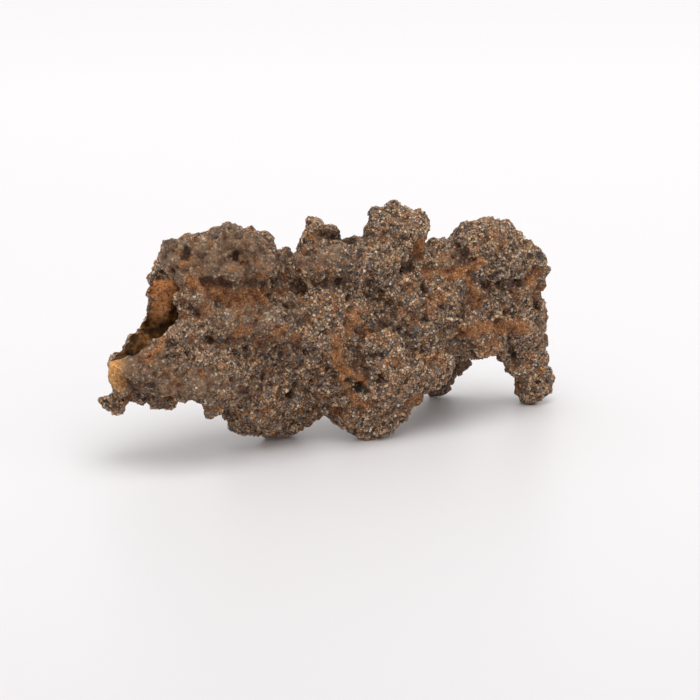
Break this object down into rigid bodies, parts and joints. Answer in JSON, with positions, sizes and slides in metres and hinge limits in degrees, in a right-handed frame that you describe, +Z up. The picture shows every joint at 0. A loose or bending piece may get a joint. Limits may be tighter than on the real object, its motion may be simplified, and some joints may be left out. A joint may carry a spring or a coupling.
{
  "type": "fulgurite",
  "caption": "Short piece of a sand fulgurite: a crooked, hollow tube of lightning-fused sand with knobs, bulges and fins, lying on the stubby feet of its crust.",
  "frame": {"origin": "middle of the footprint, on the surface the piece lies on", "axes": "+X along the tube towards its pinched end, +Y away from the broad front side, +Z up"},
  "size_m": [0.0568, 0.0172, 0.0262],
  "materials": {
    "fused_sand": "rough sand crust, glassy inside the hollow"
  },
  "bodies": {
    "root": {"fulgurite": "fused_sand"}
  },
  "joints": []
}
